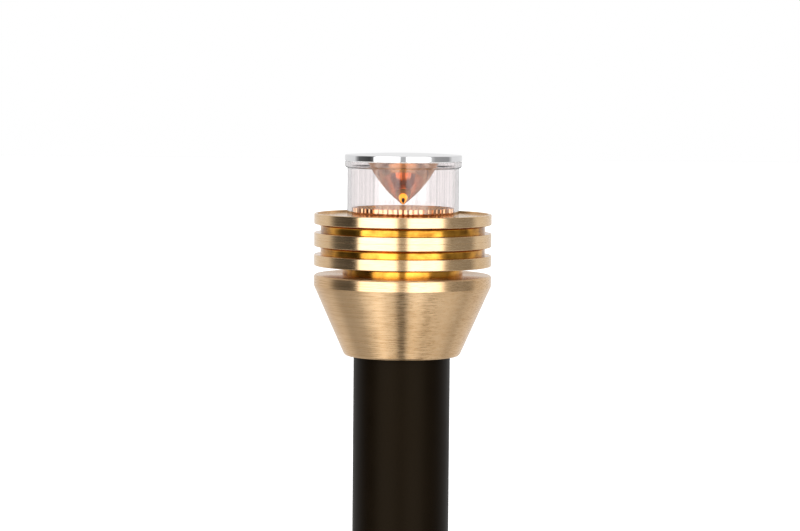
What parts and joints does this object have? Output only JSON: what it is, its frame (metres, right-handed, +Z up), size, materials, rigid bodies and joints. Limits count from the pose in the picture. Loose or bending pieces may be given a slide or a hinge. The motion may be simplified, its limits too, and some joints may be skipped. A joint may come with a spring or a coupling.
{
  "type": "garden post light",
  "caption": "Garden light with a finned brass LED head, clear lens tube, mirrored cap and hanging copper cone, on a black post with a bolt-down round base.",
  "frame": {"origin": "centre of the base's underside, on the surface that it stands on", "axes": "+Z up along the post, -Y the front, away from the set screws, +X to the front's right"},
  "size_m": [0.11, 0.11, 0.3697],
  "materials": {
    "base_rubber": "matt",
    "black_coat": "satin black coat",
    "grommet_rubber": "matt",
    "post_black": "satin black coat",
    "nylon": "natural nylon",
    "terminal_brass": "turned",
    "cable_jacket": "matt",
    "plug_plastic": "matt",
    "driver_case": "potted, matt",
    "brass_body": "brushed along the turning",
    "brass_fins": "turned, satin",
    "o_ring_rubber": "satin",
    "thermal_silicone": "matt",
    "board_white": "white solder mask",
    "screw_steel": "blackened stainless",
    "led_ceramic": "matt",
    "phosphor": "yellow silicone phosphor",
    "dish_copper": "polished copper, faceted",
    "lead_jacket": "silicone insulation",
    "clear_silicone": "translucent",
    "lens_clear": "polished",
    "cap_mirror": "mirror polished",
    "cone_copper": "mirror polished copper"
  },
  "bodies": {
    "base": {"base_pad": "base_rubber", "base_flange": "black_coat", "cable_grommet": "grommet_rubber", "terminal_block": "nylon", "terminal_screws": "terminal_brass", "feed_cable": "cable_jacket", "feed_plug": "plug_plastic", "base_set_screws": "screw_steel"},
    "post": {"post_tube": "post_black"},
    "head": {"driver_module": "driver_case", "lower_body": "brass_body", "heat_sink": "brass_fins", "neck_o_ring": "o_ring_rubber", "bezel_o_ring": "o_ring_rubber", "thermal_pad": "thermal_silicone", "led_board": "board_white", "board_screws": "screw_steel", "led_base": "led_ceramic", "led_phosphor": "phosphor", "reflector_dish": "dish_copper", "led_leads": "lead_jacket", "head_set_screws": "screw_steel"},
    "optic": {"lens_seal": "clear_silicone", "lens_tube": "lens_clear", "cap_seal": "clear_silicone", "cap_disc": "cap_mirror", "reflector_cone": "cone_copper"},
    "bezel": {"bezel_ring": "brass_fins"}
  },
  "joints": [
    {"name": "post_lift", "type": "slide", "parent": "base", "child": "post", "axis": [0, 0, 1], "range_m": [0, 0.028]},
    {"name": "head_lift", "type": "slide", "parent": "post", "child": "head", "axis": [0, 0, 1], "range_m": [0, 0.024]},
    {"name": "optic_lift", "type": "slide", "parent": "head", "child": "optic", "axis": [0, 0, 1], "range_m": [0, 0.004]},
    {"name": "bezel_turn", "type": "hinge", "parent": "optic", "child": "bezel", "pos_m": [0, 0, 0.34], "axis": [0, 0, 1], "range_deg": [0, 1440]}
  ],
  "couplings": [
    {"joint": "optic_lift", "follows": "bezel_turn", "m_per_rad": 0.00015915}
  ]
}
